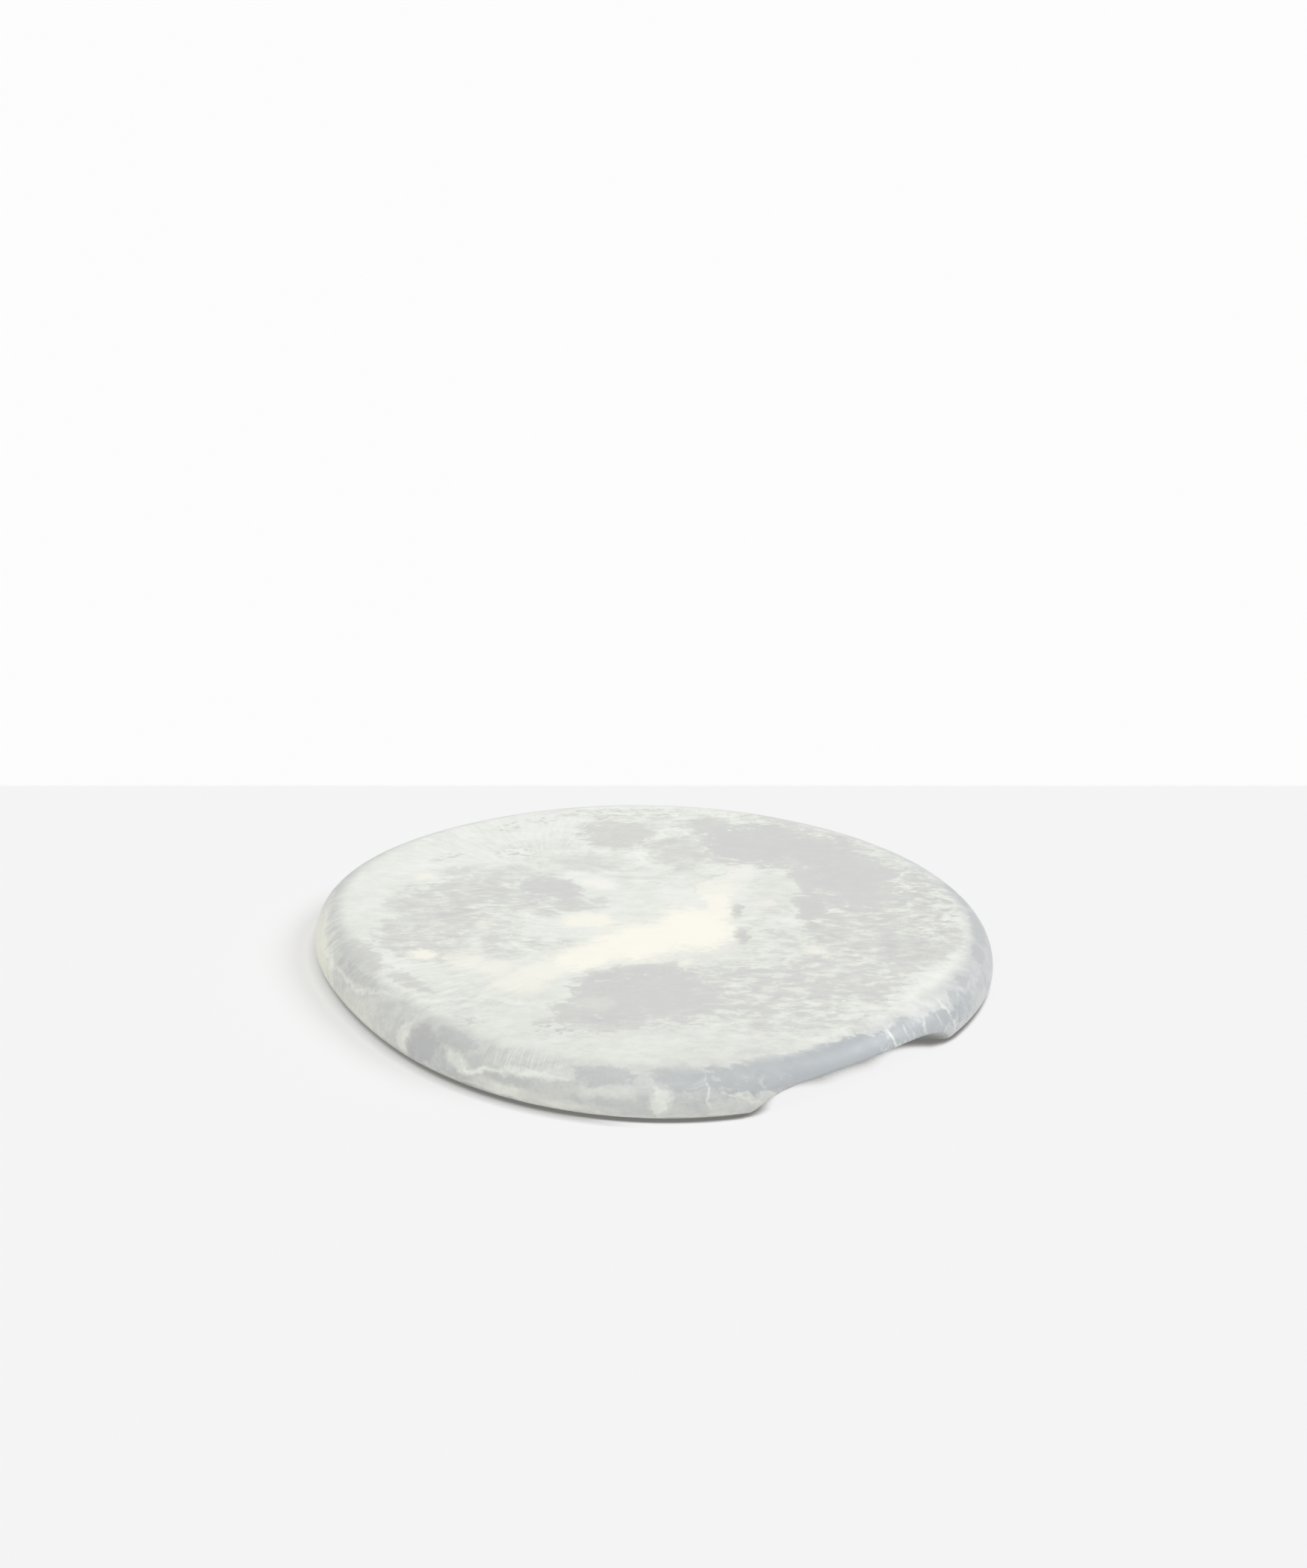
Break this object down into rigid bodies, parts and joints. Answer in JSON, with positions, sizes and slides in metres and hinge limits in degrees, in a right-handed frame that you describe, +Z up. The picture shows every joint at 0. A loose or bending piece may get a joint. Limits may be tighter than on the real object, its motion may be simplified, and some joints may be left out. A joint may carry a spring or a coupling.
{
  "type": "cheese platter",
  "caption": "Almost round, thick slab of marbled cast resin with a pebble-like rim, a flat top for serving, a finger recess under one side and low bumper feet.",
  "frame": {"origin": "on the table, under the middle of the platter's bounding box", "axes": "+Z up out of the flat top, -Y out of the finger recess, X along the recess's width"},
  "size_m": [0.3474, 0.3662, 0.0266],
  "materials": {
    "marbled_resin": "satin",
    "clear_bumper": "satin"
  },
  "bodies": {
    "root": {"slab": "marbled_resin", "foot_back_right": "clear_bumper", "foot_back_left": "clear_bumper", "foot_front_left": "clear_bumper", "foot_front_right": "clear_bumper"}
  },
  "joints": []
}
